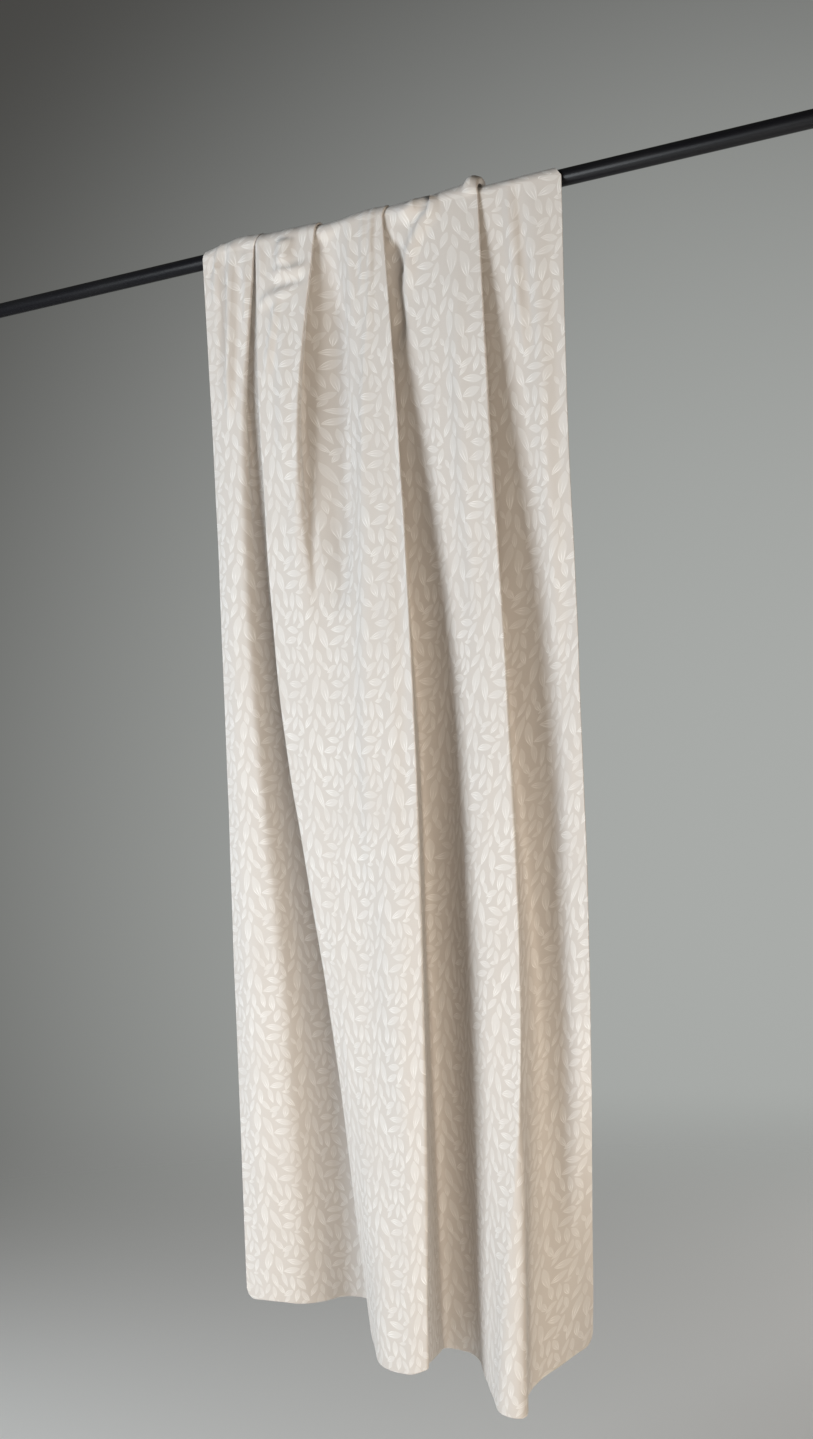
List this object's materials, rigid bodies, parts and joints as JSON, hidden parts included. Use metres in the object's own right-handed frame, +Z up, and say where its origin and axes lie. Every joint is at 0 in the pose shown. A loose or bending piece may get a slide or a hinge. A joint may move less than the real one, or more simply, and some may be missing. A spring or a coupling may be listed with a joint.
{
  "type": "curtain on a rod",
  "caption": "Light leaf-patterned cloth curtain laid over a plain round black rod, in flat pleats at the rod that open into deep soft folds at the hem.",
  "frame": {"origin": "middle of the rod's left end face", "axes": "+X along the rod towards its right end, -Y out of the curtain's front, +Z up"},
  "size_m": [2, 0.2927, 1.7521],
  "materials": {
    "cloth": "matt cream woven cloth with a slightly lighter leaf pattern",
    "rod": "black satin paint"
  },
  "bodies": {
    "root": {"curtain_cloth": "cloth", "rod": "rod"}
  },
  "joints": []
}
